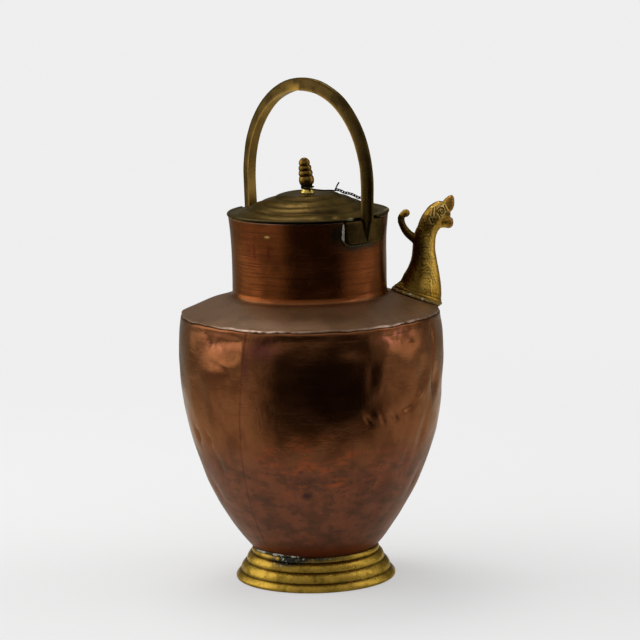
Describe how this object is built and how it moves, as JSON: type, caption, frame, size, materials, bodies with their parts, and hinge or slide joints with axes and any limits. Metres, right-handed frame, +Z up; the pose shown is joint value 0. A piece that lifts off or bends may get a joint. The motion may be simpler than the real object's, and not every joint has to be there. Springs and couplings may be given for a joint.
{
  "type": "copper jug",
  "caption": "Copper jug with a cast brass foot, a bow handle over the mouth, a bird-head pouring spout and a lift-off domed lid with a chained finial.",
  "frame": {"origin": "on the ground at the axis of the body, under the foot", "axes": "+Z up; the bow handle stands in the XZ plane with its front leg on +X; the spout points 55 degrees from +X towards +Y"},
  "size_m": [0.2362, 0.2362, 0.4484],
  "materials": {
    "copper": "hammered and worn",
    "pale_copper": "brushed and worn",
    "brass": "worn casting",
    "dark_brass": "patinated",
    "solder": "rough dull grey",
    "iron": "blackened wire",
    "green_brass": "tarnished wire"
  },
  "bodies": {
    "jug": {"body_wall": "copper", "bottom_disc": "copper", "shoulder_neck": "pale_copper", "foot_ring": "brass", "foot_solder": "solder", "handle_bow": "dark_brass", "front_lug_solder": "solder", "rear_lug_solder": "solder", "spout": "brass", "spout_solder": "solder"},
    "lid": {"lid_shell": "dark_brass", "lid_collar": "dark_brass", "finial": "brass", "finial_washer": "brass", "tie_wire": "iron", "chain_link_01": "green_brass", "chain_link_02": "green_brass", "chain_link_03": "green_brass", "chain_link_04": "green_brass", "chain_link_05": "green_brass", "chain_link_06": "green_brass", "chain_link_07": "green_brass", "chain_link_08": "green_brass", "chain_link_09": "green_brass", "chain_link_10": "green_brass", "chain_link_11": "green_brass", "chain_link_12": "green_brass"}
  },
  "joints": [
    {"name": "lid_lift", "type": "slide", "parent": "jug", "child": "lid", "axis": [0, 0, 1], "range_m": [0, 0.04]}
  ]
}
